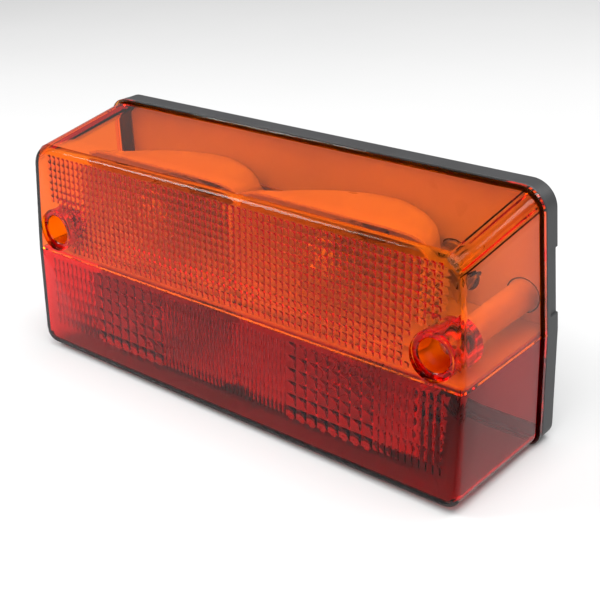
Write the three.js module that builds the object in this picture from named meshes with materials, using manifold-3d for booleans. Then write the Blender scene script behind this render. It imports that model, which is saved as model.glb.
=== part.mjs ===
// Trailer tail light: a two-chamber rear lamp with an amber lens over a red one on a black moulded base.
// Millimetres. +X to the right, front towards -Y, +Z up. Origin at the middle of the rear mounting face.
import * as THREE from 'three';
import { mergeVertices } from 'three/addons/utils/BufferGeometryUtils.js';
import Module from 'manifold-3d';

const wasm = await Module();
wasm.setup();

// Outline of the base and of the lens flange
const HALF_HEIGHT = 54;
const SPLIT_Z = -4.4; // where the amber lens meets the red one
const HALF_TOP = 115.8;
const HALF_SPLIT = 118.5;
const HALF_BOTTOM = 118.3;
const TOP_RADIUS = 10.5;
const BOTTOM_RADIUS = 7;

// Base
const BASE_DEPTH = 8.4;
const FLOOR = 2.6;
const BASE_WALL = 4.6;
const GROOVE_INSET = 1.2;
const GROOVE_WIDTH = 2;
const GROOVE_DEPTH = 1.6;
const GAP = 0.3; // clearance between pieces that meet
const PAST = 1; // a cutting body reaches this far past the face that it cuts
const RECESS_DEPTH = 0.8; // shallow flat in each end of the base
const RECESS_LOW = 2.2;
const RECESS_HIGH = 29;
const RECESS_REACH = 6; // from the rear face towards the lens

// Lens
const FLANGE = 1.9;
const FLANGE_STEP = 1.1; // the wall stands this far in from the flange edge
const LENS_WALL = 2.2;
const LENS_DEPTH_MID = 54.6; // front face to flange seat at mid height
const LENS_LEAN = 0.08; // the front face leans back by this much per millimetre of height
const TOP_DROP = 8.2; // the top wall slopes down this much from flange to front
const BOTTOM_RISE = 1.4;
const SIDE_DRAFT = 0.7;
const EDGE_RADIUS = 3.2;
const SIDE_ROUNDING = 0.6; // the side edges are rounded less across than the top and bottom ones
const INNER_EDGE_RADIUS = 0.8;
const FRONT_WALL = 2.4;
const TOP_BOW = 0.7; // the front top and bottom edges bow out by this much
const SEAT_Y = -BASE_DEPTH - GAP; // rear face of the lens flange

// Lens screws, in pockets of the amber lens, on pillars of the base
const SCREW_X = 102.8;
const SCREW_Z = 6.4;
const POCKET_RIM_RADIUS = 9.2;
const POCKET_RIM_DEPTH = 1.3;
const POCKET_RADIUS = 6.7;
const POCKET_WALL = 3.2;
const RIM_WALL = 1.2;
const POCKET_DEPTH = 15;
const POCKET_FLOOR = 2.4;
const SCREW_RADIUS = 2.5;
const SCREW_CLEARANCE = 0.25;
const SCREW_HEAD_RADIUS = 4.7;
const SCREW_HEAD_HEIGHT = 3.2;
const SCREW_LENGTH = 20;
const SEAL_RADIUS = 5.6;
const SEAL_THICKNESS = 1.2;
const RIM_START = 1.5; // the pocket's rim and tube start this far behind its mouth
const PILLAR_RADIUS = 6.2;
const PILLAR_BORE_DEPTH = 22;

// Bulbs: bayonet cap of 15 mm
const BULB_X = 46;
const AMBER_BULB_Z = 20;
const RED_BULB_Z = -29.6;
const CAP_RADIUS = 7.5;
const CAP_LENGTH = 16;
const CAP_START = 6.4; // rear end of the cap, in front of the rear face
const PIN_RADIUS = 1;
const PIN_REACH = 1.15;
const PIN_FROM_REAR = 6.6;
const TWIST = THREE.MathUtils.degToRad(22);
const LARGE_GLASS = { radius: 13.2, length: 52 };
const SMALL_GLASS = { radius: 9.4, length: 38 };
const GLASS_WALL = 0.9;
const SOCKET_INNER = 7.75;
const SOCKET_OUTER = 8.6;
const SOCKET_LENGTH = 11;
const SOCKET_REAR = 4.1;
const SOCKET_FOOT_RADIUS = 10.1;
const SOCKET_FOOT_THICKNESS = 0.9;
const TAB_X = 14; // terminal tabs of the contacts

// Reflectors: one bowl behind each bulb
const BOWL_WALL = 1.4;
const BOWL_REAR = 3.8;
const BOWL_BACK_RADIUS = 10.4;
const BOWL_STATIONS = 6;
const ROUND = 2; // exponent of a round section
const SQUARISH = 8; // exponent of the section at the mouth
const AMBER_BOWL = { halfWidth: 44.2, low: 21, high: 20.6, front: 48 };
const RED_BOWL = { halfWidth: 44.2, low: 17.6, high: 22.4, front: 49 };
const RIM_PLATE = 1.6;
const RIM_WIDTH = 1.6; // flat rim round the mouth of a bowl

// Divider between the chambers
const DIVIDER_THICKNESS = 1.6;
const DIVIDER_HALF_WIDTH = 113.5;
const DIVIDER_FRONT = 58.6;

// Panel fixings
const BOLT_X = 76;
const BOLT_Z = 8.5;
const BOLT_RADIUS = 3;
const BOLT_HOLE_RADIUS = 3.3;
const BOLT_REACH = 20;
const BOLT_HEAD_ACROSS = 10;
const BOLT_HEAD_HEIGHT = 4;
const WASHER_RADIUS = 7;
const WASHER_THICKNESS = 1.4;
const NUT_HEIGHT = 5;
const PANEL = 3; // room left for the panel between the rear face and the washers

// Cable inlet
const INLET_Z = -29.6;
const INLET_HOLE_RADIUS = 7;
const GROMMET_BORE_RADIUS = 3.4;

const SEGMENTS = 16; // sides of a round piece

const group = new THREE.Group();

function material(color, roughness, metalness = 0) {
  return () => new THREE.MeshStandardMaterial({ color, roughness, metalness });
}

const blackPlastic = material(0x2b2c2e, 0.6);
const amberPlastic = material(0xe0560c, 0.15);
const redPlastic = material(0x9c0f12, 0.15);
const whitePlastic = material(0xe6e2da, 0.35);
const rubber = material(0x191919, 0.85);
const zincSteel = material(0xb9bcc0, 0.35, 1);
const brass = material(0xc9a24a, 0.35, 1);
const glass = material(0xe8f0f2, 0.05);
const tungsten = material(0x8c8c90, 0.4, 1);

function signedVolume(positions, index) {
  let sum = 0;
  const at = (i) => new THREE.Vector3().fromArray(positions, 3 * index[i]);
  for (let i = 0; i < index.length; i += 3) sum += at(i).dot(at(i + 1).cross(at(i + 2)));
  return sum;
}

// A closed geometry as a solid, turned right side out if its faces point in
function solid(geometry) {
  const bare = geometry.clone();
  bare.deleteAttribute('normal');
  bare.deleteAttribute('uv');
  const merged = mergeVertices(bare, 1e-4);
  const vertProperties = new Float32Array(merged.attributes.position.array);
  const triVerts = new Uint32Array(merged.index.array);
  if (signedVolume(vertProperties, triVerts) < 0) {
    for (let i = 0; i < triVerts.length; i += 3) {
      [triVerts[i + 1], triVerts[i + 2]] = [triVerts[i + 2], triVerts[i + 1]];
    }
  }
  return new wasm.Manifold(new wasm.Mesh({ numProp: 3, vertProperties, triVerts }));
}

function addPart(name, body, makeMaterial) {
  const { vertProperties, triVerts } = body.getMesh();
  const geometry = new THREE.BufferGeometry();
  geometry.setAttribute('position', new THREE.BufferAttribute(vertProperties, 3));
  geometry.setIndex(new THREE.BufferAttribute(triVerts, 1));
  geometry.computeVertexNormals();
  const mesh = new THREE.Mesh(geometry, makeMaterial());
  mesh.name = name;
  group.add(mesh);
}

// A shape drawn in X and Z, given thickness from y = back towards the front
function plate(shape, back, thickness, curveSegments = 4) {
  const geometry = new THREE.ExtrudeGeometry(shape, { depth: thickness, bevelEnabled: false, curveSegments });
  return solid(geometry.rotateX(Math.PI / 2).translate(0, back, 0));
}

function box(x0, x1, y0, y1, z0, z1) {
  const geometry = new THREE.BoxGeometry(x1 - x0, y1 - y0, z1 - z0);
  return solid(geometry.translate((x0 + x1) / 2, (y0 + y1) / 2, (z0 + z1) / 2));
}

// A turned body about the line through (x, z) along Y; profile points are [radius, y] and close on themselves
function turned(profile, x, z, segments = SEGMENTS) {
  const points = [...profile, profile[0]].map(([radius, y]) => new THREE.Vector2(radius, y));
  return solid(new THREE.LatheGeometry(points, segments).translate(x, 0, z));
}

function rod(radius, y0, y1, x, z, segments = SEGMENTS) {
  const points = [[0, y0], [radius, y0], [radius, y1], [0, y1]].map(([r, y]) => new THREE.Vector2(r, y));
  return solid(new THREE.LatheGeometry(points, segments).translate(x, 0, z));
}

function tube(outer, inner, y0, y1, x, z, segments = SEGMENTS) {
  return turned([[inner, y0], [outer, y0], [outer, y1], [inner, y1]], x, z, segments);
}

// Outline of the lamp seen from the front, set in from its edge by inset
function outline(inset) {
  const top = HALF_HEIGHT - inset;
  const ends = [
    [HALF_BOTTOM - inset, -top, Math.max(BOTTOM_RADIUS - inset, 1)],
    [HALF_TOP - inset, top, Math.max(TOP_RADIUS - inset, 1)],
  ];
  const [[xb, zb, rb], [xt, zt, rt]] = ends;
  const middle = HALF_SPLIT - inset;
  const shape = new THREE.Shape();
  shape.moveTo(-xb + rb, zb);
  shape.lineTo(xb - rb, zb);
  shape.absarc(xb - rb, zb + rb, rb, -Math.PI / 2, 0);
  shape.lineTo(middle, SPLIT_Z);
  shape.lineTo(xt, zt - rt);
  shape.absarc(xt - rt, zt - rt, rt, 0, Math.PI / 2);
  const topSteps = 8;
  for (let i = 1; i < topSteps; i += 1) shape.lineTo((xt - rt) * (1 - (2 * i) / topSteps), zt);
  shape.absarc(-xt + rt, zt - rt, rt, Math.PI / 2, Math.PI);
  shape.lineTo(-middle, SPLIT_Z);
  shape.lineTo(-xb, zb + rb);
  shape.absarc(-xb + rb, zb + rb, rb, Math.PI, 1.5 * Math.PI);
  return shape;
}

const lensDepth = (z) => LENS_DEPTH_MID - LENS_LEAN * z;

// Solid form of the lens, tapering to the front, with its front edges rounded.
// inset takes off the sides, cut takes off the front
function lensForm(inset, cut) {
  const radius = Math.max(EDGE_RADIUS - cut, INNER_EDGE_RADIUS);
  const roundSteps = 3;
  const stations = [{ front: 0, reach: 0, round: 0 }];
  for (let i = 0; i <= roundSteps; i += 1) {
    const angle = ((i / roundSteps) * Math.PI) / 2;
    stations.push({ front: 1, reach: radius * (1 - Math.sin(angle)), round: radius * (1 - Math.cos(angle)) });
  }
  const steps = stations.length - 1;
  const settings = { depth: steps, steps, bevelEnabled: false, curveSegments: 4 };
  const geometry = new THREE.ExtrudeGeometry(outline(FLANGE_STEP + inset), settings);
  const position = geometry.attributes.position;
  for (let i = 0; i < position.count; i += 1) {
    const x = position.getX(i);
    const z = position.getY(i);
    const { front, reach, round } = stations[Math.round(position.getZ(i))];
    const up = z / HALF_HEIGHT;
    const across = 1 - (x / HALF_SPLIT) ** 2;
    const slope = up > 0 ? -TOP_DROP * up : -BOTTOM_RISE * up;
    const bow = Math.sign(up) * TOP_BOW * across * up * up;
    const zFront = z + front * (slope + bow) - round * up;
    const xFront = x * (1 - (front * SIDE_DRAFT + round * SIDE_ROUNDING) / HALF_SPLIT);
    const y = front ? SEAT_Y - lensDepth(zFront) + cut + reach : SEAT_Y;
    position.setXYZ(i, xFront, y, zFront);
  }
  return solid(geometry);
}

const pocketFront = SEAT_Y - lensDepth(SCREW_Z);
const pocketFloorY = pocketFront + POCKET_DEPTH;

function screwPocket(x) {
  const rimBack = pocketFront + POCKET_RIM_DEPTH + FRONT_WALL;
  return rod(POCKET_RADIUS + POCKET_WALL, pocketFront + RIM_START, pocketFloorY + POCKET_FLOOR, x, SCREW_Z)
    .add(rod(POCKET_RIM_RADIUS + RIM_WALL, pocketFront + RIM_START, rimBack, x, SCREW_Z));
}

function screwPocketSpace(x) {
  const mouth = pocketFront - 2 * PAST;
  const behind = pocketFloorY + POCKET_FLOOR + PAST;
  return rod(POCKET_RADIUS, mouth, pocketFloorY, x, SCREW_Z)
    .add(rod(POCKET_RIM_RADIUS, mouth, pocketFront + POCKET_RIM_DEPTH, x, SCREW_Z))
    .add(rod(SCREW_RADIUS + SCREW_CLEARANCE, pocketFloorY - PAST, behind, x, SCREW_Z));
}

function lensShell() {
  const flange = plate(outline(0), SEAT_Y, FLANGE);
  const hollow = lensForm(LENS_WALL, FRONT_WALL);
  const mouth = plate(outline(FLANGE_STEP + LENS_WALL), SEAT_Y + 1, 2);
  const outside = lensForm(0, 0);
  let shell = outside.add(flange).subtract(hollow).subtract(mouth);
  for (const x of [-SCREW_X, SCREW_X]) {
    shell = shell.add(screwPocket(x).intersect(outside)).subtract(screwPocketSpace(x));
  }
  return shell;
}

function lensHalves() {
  const shell = lensShell();
  const reach = 2 * HALF_BOTTOM;
  const amber = shell.subtract(box(-reach, reach, -reach, reach, -reach, SPLIT_Z + GAP / 2));
  const red = shell.subtract(box(-reach, reach, -reach, reach, SPLIT_Z - GAP / 2, reach));
  return { amber, red };
}

function gasket() {
  const slack = 0.15;
  return plate(outline(GROOVE_INSET + slack), -BASE_DEPTH + GROOVE_DEPTH - slack, GROOVE_DEPTH)
    .subtract(plate(outline(GROOVE_INSET + GROOVE_WIDTH - slack), 1, BASE_DEPTH + 2));
}

function base() {
  let body = plate(outline(0.1), 0, BASE_DEPTH)
    .subtract(plate(outline(BASE_WALL), -FLOOR, BASE_DEPTH));
  const groove = plate(outline(GROOVE_INSET), -BASE_DEPTH + GROOVE_DEPTH, GROOVE_DEPTH + 1)
    .subtract(plate(outline(GROOVE_INSET + GROOVE_WIDTH), 1, BASE_DEPTH + 4));
  body = body.subtract(groove);
  for (const side of [-1, 1]) {
    const pillarFront = pocketFloorY + POCKET_FLOOR + GAP;
    const boreRadius = SCREW_RADIUS + 0.1;
    body = body
      .add(rod(PILLAR_RADIUS, -FLOOR + PAST, pillarFront, side * SCREW_X, SCREW_Z))
      .subtract(rod(boreRadius, pillarFront + PILLAR_BORE_DEPTH, pillarFront - PAST, side * SCREW_X, SCREW_Z))
      .subtract(rod(BOLT_HOLE_RADIUS, PAST, -FLOOR - PAST, side * BOLT_X, BOLT_Z));
  }
  return body.subtract(sideRecesses()).subtract(rod(INLET_HOLE_RADIUS, PAST, -FLOOR - PAST, 0, INLET_Z));
}

// What the shallow flats take off the two ends of the base
function sideRecesses() {
  const reach = 2 * HALF_SPLIT;
  return plate(outline(-PAST), PAST, BASE_DEPTH)
    .subtract(plate(outline(RECESS_DEPTH), 2 * PAST, BASE_DEPTH + 2 * PAST))
    .intersect(box(-reach, reach, -RECESS_REACH, PAST, RECESS_LOW, RECESS_HIGH));
}

// Bowl of a reflector: round at the bulb holder, opening to a rounded rectangle at the front
function bowlForm(spec, x, z, grow, extra) {
  const shape = new THREE.Shape();
  shape.absarc(0, 0, 1, 0, 2 * Math.PI);
  const settings = { depth: BOWL_STATIONS, steps: BOWL_STATIONS, bevelEnabled: false, curveSegments: 10 };
  const geometry = new THREE.ExtrudeGeometry(shape, settings);
  const position = geometry.attributes.position;
  for (let i = 0; i < position.count; i += 1) {
    const angle = Math.atan2(position.getY(i), position.getX(i));
    const t = position.getZ(i) / BOWL_STATIONS;
    const open = Math.sqrt(t);
    const square = ROUND + (SQUARISH - ROUND) * t;
    const cos = Math.cos(angle);
    const sin = Math.sin(angle);
    const stretch = (Math.abs(cos) ** square + Math.abs(sin) ** square) ** (-1 / square);
    const height = sin > 0 ? spec.high : spec.low;
    const rx = BOWL_BACK_RADIUS + (spec.halfWidth - BOWL_BACK_RADIUS) * open + grow;
    const rz = BOWL_BACK_RADIUS + (height - BOWL_BACK_RADIUS) * open + grow;
    const y = -BOWL_REAR - (spec.front - BOWL_REAR) * t + extra * (t < 0.5 ? 1 : -1);
    position.setXYZ(i, x + rx * cos * stretch, y, z + rz * sin * stretch);
  }
  return solid(geometry);
}

function reflector(spec, x, z) {
  const reach = spec.halfWidth + RIM_WIDTH;
  const rim = box(x - reach, x + reach, -spec.front, -spec.front + RIM_PLATE,
    z - spec.low - RIM_WIDTH, z + spec.high + RIM_WIDTH);
  return rim
    .add(bowlForm(spec, x, z, BOWL_WALL, 0))
    .subtract(bowlForm(spec, x, z, 0, 0.5))
    .subtract(rod(POCKET_RIM_RADIUS + 2, 0, -spec.front - 1, Math.sign(x) * SCREW_X, SCREW_Z));
}

function divider() {
  const half = DIVIDER_THICKNESS / 2;
  const rear = -FLOOR - GAP;
  return box(-DIVIDER_HALF_WIDTH, DIVIDER_HALF_WIDTH, -DIVIDER_FRONT, rear, SPLIT_Z - half, SPLIT_Z + half);
}

// Part of a ring about Y, between two angles measured from +X towards +Z
function ringSector(inner, outer, from, to, y0, y1, x, z) {
  const shape = new THREE.Shape();
  shape.absarc(0, 0, outer, from, to, false);
  shape.absarc(0, 0, inner, to, from, true);
  shape.closePath();
  return plate(shape, y1, y1 - y0).translate([x, 0, z]);
}

const pinY = -(CAP_START + PIN_FROM_REAR);

// Bayonet holder: a sleeve with a foot ring and two L-shaped slots for the pins of the cap
function socket(x, z) {
  const mouth = -(SOCKET_REAR + SOCKET_LENGTH);
  const footFront = -SOCKET_REAR - SOCKET_FOOT_THICKNESS;
  let body = tube(SOCKET_OUTER, SOCKET_INNER, -SOCKET_REAR, mouth, x, z)
    .add(tube(SOCKET_FOOT_RADIUS, SOCKET_INNER, -SOCKET_REAR, footFront, x, z));
  const slack = 0.35;
  const half = (PIN_RADIUS + slack) / SOCKET_INNER;
  const inner = SOCKET_INNER - 0.5;
  const outer = SOCKET_OUTER + 0.5;
  for (const start of [0, Math.PI]) {
    const locked = start - TWIST;
    const slotEnd = pinY + PIN_RADIUS + slack;
    const slotStart = pinY - PIN_RADIUS - slack;
    body = body
      .subtract(ringSector(inner, outer, start - half, start + half, mouth - 1, slotEnd, x, z))
      .subtract(ringSector(inner, outer, locked - half, start, slotStart, slotEnd, x, z));
  }
  return body;
}

// Brass cap of a bulb with its two pins, hollow towards the glass
function bulbCap(x, z) {
  const rear = -CAP_START;
  const front = rear - CAP_LENGTH;
  const profile = [[0, rear], [CAP_RADIUS - 1.5, rear], [CAP_RADIUS, rear - 1.5], [CAP_RADIUS, front],
    [CAP_RADIUS - 0.5, front], [CAP_RADIUS - 0.5, rear - 4], [0, rear - 4]];
  const points = profile.map(([radius, y]) => new THREE.Vector2(radius, y));
  const sleeve = solid(new THREE.LatheGeometry(points, SEGMENTS));
  const pin = new THREE.CylinderGeometry(PIN_RADIUS, PIN_RADIUS, 2 * (CAP_RADIUS + PIN_REACH), 10);
  const pins = solid(pin.rotateZ(Math.PI / 2).rotateY(TWIST).translate(0, pinY, 0));
  const space = rod(CAP_RADIUS - 0.5, rear - 4, front - 1, 0, 0);
  return sleeve.add(pins.subtract(space)).translate([x, 0, z]);
}

// Glass of a bulb: a thin envelope, open inside the cap
function bulbGlass(x, z, { radius, length }) {
  const neck = CAP_RADIUS - 0.9;
  const capFront = CAP_START + CAP_LENGTH;
  const tip = CAP_START + length;
  const centre = tip - radius;
  const outer = [[neck, capFront - 5], [neck, capFront + 1]];
  const arcSteps = 5;
  const startAngle = -Math.acos(Math.min(1, (neck + 1.5) / radius));
  for (let i = 0; i <= arcSteps; i += 1) {
    const angle = startAngle + ((Math.PI / 2 - startAngle) * i) / arcSteps;
    outer.push([radius * Math.cos(angle), centre + radius * Math.sin(angle)]);
  }
  outer[outer.length - 1][0] = 0;
  const shrink = (radius - GLASS_WALL) / radius;
  const inNeck = (i) => i < 2;
  const inner = outer.map(([r, y], i) => (
    inNeck(i) ? [r - GLASS_WALL, y] : [r * shrink, centre + (y - centre) * shrink]));
  const points = [...outer, ...inner.reverse(), outer[0]].map(([r, y]) => new THREE.Vector2(r, -y));
  return solid(new THREE.LatheGeometry(points, 12)).translate([x, 0, z]);
}

// Filament on its two support wires
function filament(x, z, { length }) {
  const foot = -(CAP_START + 6);
  const top = -(CAP_START + length * 0.66);
  const bends = [[-3, foot], [-3, top + 6], [-3.6, top], [-1.2, top + 0.6], [1.2, top - 0.6], [3.6, top],
    [3, top + 6], [3, foot]];
  const points = bends.map(([px, py]) => new THREE.Vector3(px, py, 0));
  const path = new THREE.CatmullRomCurve3(points, false, 'catmullrom', 0.2);
  const section = new THREE.Shape();
  section.absarc(0, 0, 0.4, 0, 2 * Math.PI);
  const settings = { steps: 14, bevelEnabled: false, extrudePath: path, curveSegments: 2 };
  return solid(new THREE.ExtrudeGeometry(section, settings)).translate([x, 0, z]);
}

// Springy brass contact: a dome under the bulb and a strip along the floor to a terminal tab
function contact(x, z, tabX) {
  const rear = -FLOOR - GAP;
  const thickness = 0.6;
  const halfWidth = 3;
  const tabHeight = 6;
  const side = Math.sign(x);
  const ends = [x + side * halfWidth, tabX - (side * thickness) / 2].sort((a, b) => a - b);
  const strip = box(ends[0], ends[1], rear - thickness, rear, z - halfWidth, z + halfWidth);
  const dome = rod(2.4, rear, -CAP_START + GAP, x, z);
  const half = thickness / 2;
  const tab = box(tabX - half, tabX + half, rear - tabHeight, rear, z - halfWidth, z + halfWidth);
  return strip.add(dome).add(tab);
}

function hexagon(across) {
  const shape = new THREE.Shape();
  const corner = across / Math.sqrt(3);
  for (let i = 0; i < 6; i += 1) {
    const angle = (i * Math.PI) / 3;
    const move = i === 0 ? 'moveTo' : 'lineTo';
    shape[move](corner * Math.cos(angle), corner * Math.sin(angle));
  }
  shape.closePath();
  return shape;
}

// Pan-head lens screw with a cross slot
function lensScrew(x) {
  const seat = pocketFloorY - SEAL_THICKNESS - 0.1;
  const top = seat - SCREW_HEAD_HEIGHT;
  const tip = seat + SCREW_LENGTH;
  const profile = [[0, tip], [SCREW_RADIUS - 0.8, tip], [SCREW_RADIUS, tip - 2], [SCREW_RADIUS, seat],
    [SCREW_HEAD_RADIUS, seat], [SCREW_HEAD_RADIUS, seat - 1.6], [SCREW_HEAD_RADIUS - 1.2, top + 0.3],
    [0, top]];
  const points = profile.map(([radius, y]) => new THREE.Vector2(radius, y));
  const slotHalf = 0.7;
  const slotReach = 3;
  const slotFloor = top + 1.9;
  return solid(new THREE.LatheGeometry(points, SEGMENTS))
    .subtract(box(-slotReach, slotReach, top - 1, slotFloor, -slotHalf, slotHalf))
    .subtract(box(-slotHalf, slotHalf, top - 1, slotFloor, -slotReach, slotReach))
    .translate([x, 0, SCREW_Z]);
}

function screwSeal(x) {
  const rear = pocketFloorY - 0.05;
  return tube(SEAL_RADIUS, SCREW_RADIUS + 0.1, rear, rear - SEAL_THICKNESS, x, SCREW_Z);
}

function mountingBolt(x) {
  const rear = -FLOOR - 0.1;
  return plate(hexagon(BOLT_HEAD_ACROSS), rear, BOLT_HEAD_HEIGHT).translate([x, 0, BOLT_Z])
    .add(rod(BOLT_RADIUS, rear - 1, BOLT_REACH, x, BOLT_Z));
}

function mountingWasher(x) {
  return tube(WASHER_RADIUS, BOLT_HOLE_RADIUS, PANEL, PANEL + WASHER_THICKNESS, x, BOLT_Z);
}

function mountingNut(x) {
  const start = PANEL + WASHER_THICKNESS + 0.1;
  return plate(hexagon(BOLT_HEAD_ACROSS), start + NUT_HEIGHT, NUT_HEIGHT).translate([x, 0, BOLT_Z])
    .subtract(rod(BOLT_RADIUS + 0.05, 0, BOLT_REACH, x, BOLT_Z));
}

// Rubber sleeve in the cable hole, with a flange inside and a short nose behind
function grommet() {
  const hole = INLET_HOLE_RADIUS - 0.15;
  const flange = INLET_HOLE_RADIUS + 2;
  const inside = -FLOOR - 0.15;
  const front = inside - 2.4;
  const nose = 2.6;
  const profile = [[GROMMET_BORE_RADIUS, front], [flange, front], [flange, inside], [hole, inside],
    [hole, -0.2], [GROMMET_BORE_RADIUS + 1.8, nose], [GROMMET_BORE_RADIUS, nose]];
  return turned(profile, 0, INLET_Z);
}

const { amber, red } = lensHalves();
addPart('housing_base', base(), blackPlastic);
addPart('lens_gasket', gasket(), rubber);
addPart('lens_amber', amber, amberPlastic);
addPart('lens_red', red, redPlastic);
addPart('chamber_divider', divider(), whitePlastic);

const bulbs = [
  { name: 'indicator_left', side: -1, z: AMBER_BULB_Z, size: LARGE_GLASS, bowl: AMBER_BOWL },
  { name: 'indicator_right', side: 1, z: AMBER_BULB_Z, size: LARGE_GLASS, bowl: AMBER_BOWL },
  { name: 'stop', side: -1, z: RED_BULB_Z, size: LARGE_GLASS, bowl: RED_BOWL },
  { name: 'tail', side: 1, z: RED_BULB_Z, size: SMALL_GLASS, bowl: RED_BOWL },
];
for (const { name, side, z, size, bowl } of bulbs) {
  const x = side * BULB_X;
  addPart(`${name}_reflector`, reflector(bowl, x, z), whitePlastic);
  addPart(`${name}_socket`, socket(x, z), zincSteel);
  addPart(`${name}_contact`, contact(x, z, side * TAB_X), brass);
  addPart(`${name}_bulb_cap`, bulbCap(x, z), brass);
  addPart(`${name}_bulb_glass`, bulbGlass(x, z, size), glass);
  addPart(`${name}_filament`, filament(x, z, size), tungsten);
}

for (const [side, sign] of [['left', -1], ['right', 1]]) {
  addPart(`lens_screw_${side}`, lensScrew(sign * SCREW_X), zincSteel);
  addPart(`screw_seal_${side}`, screwSeal(sign * SCREW_X), rubber);
  addPart(`mounting_bolt_${side}`, mountingBolt(sign * BOLT_X), zincSteel);
  addPart(`mounting_washer_${side}`, mountingWasher(sign * BOLT_X), zincSteel);
  addPart(`mounting_nut_${side}`, mountingNut(sign * BOLT_X), zincSteel);
}
addPart('cable_grommet', grommet(), rubber);

export default group;
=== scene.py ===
"""Trailer tail light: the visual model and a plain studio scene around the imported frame.

Lengths are in millimetres until mesh_object turns them into metres. +X right, front towards -Y, +Z up.
"""
import math

import bmesh
import bpy
import numpy as np
from mathutils import Matrix, Vector
from mathutils.geometry import delaunay_2d_cdt


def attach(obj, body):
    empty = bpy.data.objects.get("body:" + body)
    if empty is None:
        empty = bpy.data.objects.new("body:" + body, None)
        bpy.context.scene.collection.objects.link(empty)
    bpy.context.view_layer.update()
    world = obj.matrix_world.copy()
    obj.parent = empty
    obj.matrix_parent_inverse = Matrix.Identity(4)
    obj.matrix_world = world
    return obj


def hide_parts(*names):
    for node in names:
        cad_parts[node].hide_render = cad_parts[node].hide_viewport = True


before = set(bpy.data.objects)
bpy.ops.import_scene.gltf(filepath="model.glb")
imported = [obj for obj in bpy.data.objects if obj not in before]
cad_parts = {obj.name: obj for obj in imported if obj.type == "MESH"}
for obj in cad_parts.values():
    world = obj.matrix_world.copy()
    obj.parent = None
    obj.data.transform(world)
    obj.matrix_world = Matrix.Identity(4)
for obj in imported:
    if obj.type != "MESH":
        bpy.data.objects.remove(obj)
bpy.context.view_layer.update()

MM = 0.001

# Outline of the base and the lens flange
HALF_HEIGHT = 54.0
SPLIT_Z = -4.4
HALF_TOP, HALF_SPLIT, HALF_BOTTOM = 115.8, 118.5, 118.3
TOP_RADIUS, BOTTOM_RADIUS = 10.5, 7.0

# Base
BASE_DEPTH, FLOOR, BASE_WALL = 8.4, 2.6, 4.6
GROOVE_INSET, GROOVE_WIDTH, GROOVE_DEPTH = 1.2, 2.0, 1.6
RECESS_LOW, RECESS_HIGH, RECESS_DEPTH, RECESS_FRONT = 2.2, 29.0, 0.8, 6.0
BOLT_X, BOLT_Z, BOLT_RADIUS, BOLT_HOLE, BOLT_REACH = 76.0, 8.5, 3.0, 3.3, 20.0
PANEL, WASHER_THICKNESS, WASHER_RADIUS, NUT_HEIGHT, BOLT_HEAD = 3.0, 1.4, 7.0, 5.0, 4.0
ACROSS_FLATS, BOLT_PITCH, SCREW_PITCH = 10.0, 1.0, 1.8
INLET_Z, INLET_HOLE, GROMMET_BORE = -29.6, 7.0, 3.4
PILLAR_RADIUS, PILLAR_BORE, PILLAR_BORE_LENGTH = 6.2, 2.6, 22.0

# Lens
SEAT_Y = -8.7
FLANGE, FLANGE_STEP = 1.9, 1.1
LENS_WALL, FRONT_WALL = 2.2, 2.4
LENS_DEPTH_MID, LENS_LEAN = 54.6, 0.08
TOP_DROP, BOTTOM_RISE, SIDE_DRAFT, TOP_BOW = 8.2, 1.4, 0.7, 0.7
EDGE_RADIUS = 3.2
SIDE_ROUNDING = 0.6  # the side edges are rounded less across than the top ones
SEAM_GAP = 0.06
FLUTE_DEPTH = 0.3  # of the small flutes inside the top and bottom corners
PRISM_STEPS = 4  # faces along each side of a prism
SHADE_BAND_REACH = 4.5  # the band of painted shade climbs this far up the lower corners
SCREW_X, SCREW_Z = 102.8, 6.4
POCKET_DEPTH, POCKET_FLOOR = 15.0, 2.4
RIM_RADIUS, RIM_DEPTH, POCKET_RADIUS, TUBE_RADIUS, SCREW_HOLE = 9.2, 1.3, 6.7, 9.6, 2.75

# Lens screws
SCREW_RADIUS, SCREW_LENGTH, HEAD_RADIUS, HEAD_HEIGHT = 2.5, 20.0, 4.7, 3.2
SEAL_THICKNESS, SEAL_RADIUS = 1.2, 5.6

# Bulbs
BULB_X, AMBER_Z, RED_Z = 46.0, 20.0, -29.6
CAP_RADIUS, CAP_LENGTH, CAP_START = 7.5, 16.0, 6.4
PIN_RADIUS, PIN_REACH, PIN_FROM_REAR, TWIST = 1.0, 1.15, 6.6, 22.0
SOCKET_INNER, SOCKET_OUTER, SOCKET_LENGTH, SOCKET_REAR = 7.75, 8.6, 11.0, 4.1
FOOT_RADIUS, FOOT_THICKNESS = 10.1, 0.9
LARGE_GLASS, SMALL_GLASS = (13.2, 52.0), (9.4, 38.0)  # radius and length
GLASS_WALL = 0.9
CONTACT_THICKNESS, CONTACT_HALF_WIDTH, TAB_X, TAB_HEIGHT = 0.6, 3.0, 14.0, 6.0

# Reflector bowls: how far each reaches below and above its bulb, and how far forward
BOWL_WALL, BOWL_REAR, BOWL_BACK_RADIUS, BOWL_HALF_WIDTH = 1.4, 3.8, 10.4, 44.2
AMBER_BOWL, RED_BOWL = (21.0, 20.6, 48.0), (17.6, 22.4, 49.0)
DIVIDER_HALF_WIDTH, DIVIDER_FRONT, DIVIDER_THICKNESS = 113.5, 58.6, 1.6

# Name, side, height, glass and bowl of each bulb
BULBS = (("indicator_left", -1, AMBER_Z, LARGE_GLASS, AMBER_BOWL),
         ("indicator_right", 1, AMBER_Z, LARGE_GLASS, AMBER_BOWL),
         ("stop", -1, RED_Z, LARGE_GLASS, RED_BOWL),
         ("tail", 1, RED_Z, SMALL_GLASS, RED_BOWL))


# ---------------------------------------------------------------- mesh helpers

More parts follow.
